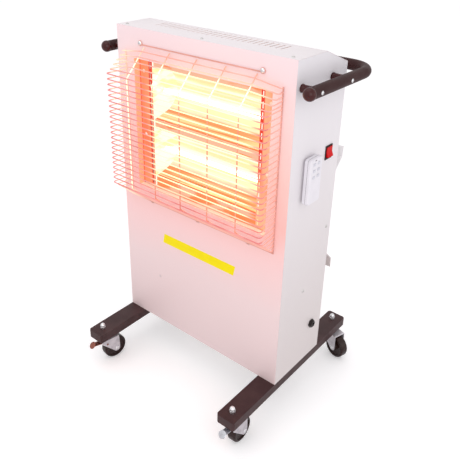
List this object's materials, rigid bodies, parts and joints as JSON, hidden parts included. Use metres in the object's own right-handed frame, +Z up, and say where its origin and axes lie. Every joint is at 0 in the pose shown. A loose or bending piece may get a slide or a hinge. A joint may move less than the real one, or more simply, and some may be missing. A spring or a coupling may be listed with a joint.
{
  "type": "infrared cabinet heater",
  "caption": "Upright sheet-metal infrared heater with lamps behind a wire guard, a rear tube handle, a remote control on its side and swivel castors.",
  "frame": {"origin": "on the floor, under the middle of the heater's bounding box", "axes": "+Z up, -Y out of the front with the lamps, +X to the right as seen from the front"},
  "size_m": [0.5724, 0.496, 0.8622],
  "materials": {
    "white_steel": "satin white powder coat",
    "brown_steel": "semi-gloss dark brown paint",
    "bright_aluminium": "bright rolled sheet",
    "plated_wire": "bright nickel-plated wire",
    "quartz_glass": "clear",
    "glowing_filament": "glowing coil",
    "white_ceramic": "glazed ceramic",
    "zinc_steel": "bright zinc plating",
    "bright_nut": "polished",
    "brown_plastic": "glossy moulded plastic",
    "black_plastic": "fine-textured moulded plastic",
    "red_plastic": "glossy moulded plastic",
    "white_plastic": "satin moulded plastic",
    "grey_rubber": "soft matt",
    "green_board": "lacquered"
  },
  "bodies": {
    "cabinet": {"back_panel": "white_steel", "base_pan": "white_steel", "cable_gland": "black_plastic", "castor_studs": "zinc_steel", "control_board": "green_board", "cord_hooks": "white_steel", "dome_nuts": "bright_nut", "end_plate_left": "bright_aluminium", "end_plate_right": "bright_aluminium", "front_panel": "white_steel", "gland_locknut": "black_plastic", "guard_screws": "zinc_steel", "handle_end_caps": "brown_plastic", "handle_screws": "zinc_steel", "handle_spacers": "brown_plastic", "handle_tube": "brown_steel", "lamp_clips": "zinc_steel", "lamp_end_caps": "white_ceramic", "lamp_filaments": "glowing_filament", "lamp_tube_lower": "quartz_glass", "lamp_tube_upper": "quartz_glass", "left_side_panel": "white_steel", "leg_end_caps": "brown_plastic", "leg_left": "brown_steel", "leg_right": "brown_steel", "leg_screws": "zinc_steel", "panel_screws": "zinc_steel", "receiver_window": "black_plastic", "reflector_lower": "bright_aluminium", "reflector_upper": "bright_aluminium", "remote_cradle": "white_plastic", "right_side_panel": "white_steel", "switch_housing": "black_plastic", "terminal_block": "white_ceramic", "tip_over_switch": "black_plastic", "top_panel": "white_steel", "wire_guard": "plated_wire"},
    "rocker": {"rocker": "red_plastic"},
    "remote": {"remote_case": "white_plastic", "remote_battery_door": "white_plastic"},
    "key_1": {"remote_key_1": "grey_rubber"},
    "key_2": {"remote_key_2": "grey_rubber"},
    "key_3": {"remote_key_3": "grey_rubber"},
    "key_4": {"remote_key_4": "grey_rubber"},
    "key_5": {"remote_key_5": "grey_rubber"},
    "key_6": {"remote_key_6": "grey_rubber"},
    "fork_front_left": {"fork_front_left": "zinc_steel", "axle_front_left": "zinc_steel"},
    "wheel_front_left": {"wheel_front_left": "brown_plastic"},
    "fork_front_right": {"fork_front_right": "zinc_steel", "axle_front_right": "zinc_steel"},
    "wheel_front_right": {"wheel_front_right": "brown_plastic"},
    "fork_rear_left": {"fork_rear_left": "zinc_steel", "axle_rear_left": "zinc_steel"},
    "wheel_rear_left": {"wheel_rear_left": "brown_plastic"},
    "fork_rear_right": {"fork_rear_right": "zinc_steel", "axle_rear_right": "zinc_steel"},
    "wheel_rear_right": {"wheel_rear_right": "brown_plastic"},
    "brake_front_left": {"brake_pedal_front_left": "zinc_steel"},
    "brake_front_right": {"brake_pedal_front_right": "zinc_steel"}
  },
  "joints": [
    {"name": "rocker_tilt", "type": "hinge", "parent": "cabinet", "child": "rocker", "pos_m": [0.236, 0.062, 0.6425], "axis": [0, 1, 0], "range_deg": [0, 18]},
    {"name": "remote_lift", "type": "slide", "parent": "cabinet", "child": "remote", "axis": [0, 0, 1], "range_m": [0, 0.1]},
    {"name": "key_1_press", "type": "slide", "parent": "remote", "child": "key_1", "axis": [-1, 0, 0], "range_m": [0, 0.0006], "stiffness_N_per_m": 600, "springref_m": -0.0004},
    {"name": "key_2_press", "type": "slide", "parent": "remote", "child": "key_2", "axis": [-1, 0, 0], "range_m": [0, 0.0006], "stiffness_N_per_m": 600, "springref_m": -0.0004},
    {"name": "key_3_press", "type": "slide", "parent": "remote", "child": "key_3", "axis": [-1, 0, 0], "range_m": [0, 0.0006], "stiffness_N_per_m": 600, "springref_m": -0.0004},
    {"name": "key_4_press", "type": "slide", "parent": "remote", "child": "key_4", "axis": [-1, 0, 0], "range_m": [0, 0.0006], "stiffness_N_per_m": 600, "springref_m": -0.0004},
    {"name": "key_5_press", "type": "slide", "parent": "remote", "child": "key_5", "axis": [-1, 0, 0], "range_m": [0, 0.0006], "stiffness_N_per_m": 600, "springref_m": -0.0004},
    {"name": "key_6_press", "type": "slide", "parent": "remote", "child": "key_6", "axis": [-1, 0, 0], "range_m": [0, 0.0006], "stiffness_N_per_m": 600, "springref_m": -0.0004},
    {"name": "swivel_front_left", "type": "hinge", "parent": "cabinet", "child": "fork_front_left", "pos_m": [-0.216, -0.2055, 0.07], "axis": [0, 0, 1], "continuous": true},
    {"name": "roll_front_left", "type": "hinge", "parent": "fork_front_left", "child": "wheel_front_left", "pos_m": [-0.2121, -0.17777, 0.0315], "axis": [-0.9903, 0.1392, 0], "continuous": true},
    {"name": "brake_front_left", "type": "hinge", "parent": "fork_front_left", "child": "brake_front_left", "pos_m": [-0.216, -0.2055, 0.058], "axis": [0.9903, -0.1392, 0], "range_deg": [0, 22]},
    {"name": "swivel_front_right", "type": "hinge", "parent": "cabinet", "child": "fork_front_right", "pos_m": [0.216, -0.2055, 0.07], "axis": [0, 0, 1], "continuous": true},
    {"name": "roll_front_right", "type": "hinge", "parent": "fork_front_right", "child": "wheel_front_right", "pos_m": [0.21502, -0.17752, 0.0315], "axis": [-0.9994, -0.0349, 0], "continuous": true},
    {"name": "brake_front_right", "type": "hinge", "parent": "fork_front_right", "child": "brake_front_right", "pos_m": [0.216, -0.2055, 0.058], "axis": [0.9994, 0.0349, 0], "range_deg": [0, 22]},
    {"name": "swivel_rear_left", "type": "hinge", "parent": "cabinet", "child": "fork_rear_left", "pos_m": [-0.216, 0.2215, 0.07], "axis": [0, 0, 1], "continuous": true},
    {"name": "roll_rear_left", "type": "hinge", "parent": "fork_rear_left", "child": "wheel_rear_left", "pos_m": [-0.19062, 0.20967, 0.0315], "axis": [0.4226, 0.9063, 0], "continuous": true},
    {"name": "swivel_rear_right", "type": "hinge", "parent": "cabinet", "child": "fork_rear_right", "pos_m": [0.216, 0.2215, 0.07], "axis": [0, 0, 1], "continuous": true},
    {"name": "roll_rear_right", "type": "hinge", "parent": "fork_rear_right", "child": "wheel_rear_right", "pos_m": [0.24278, 0.21331, 0.0315], "axis": [0.2924, 0.9563, 0], "continuous": true}
  ]
}
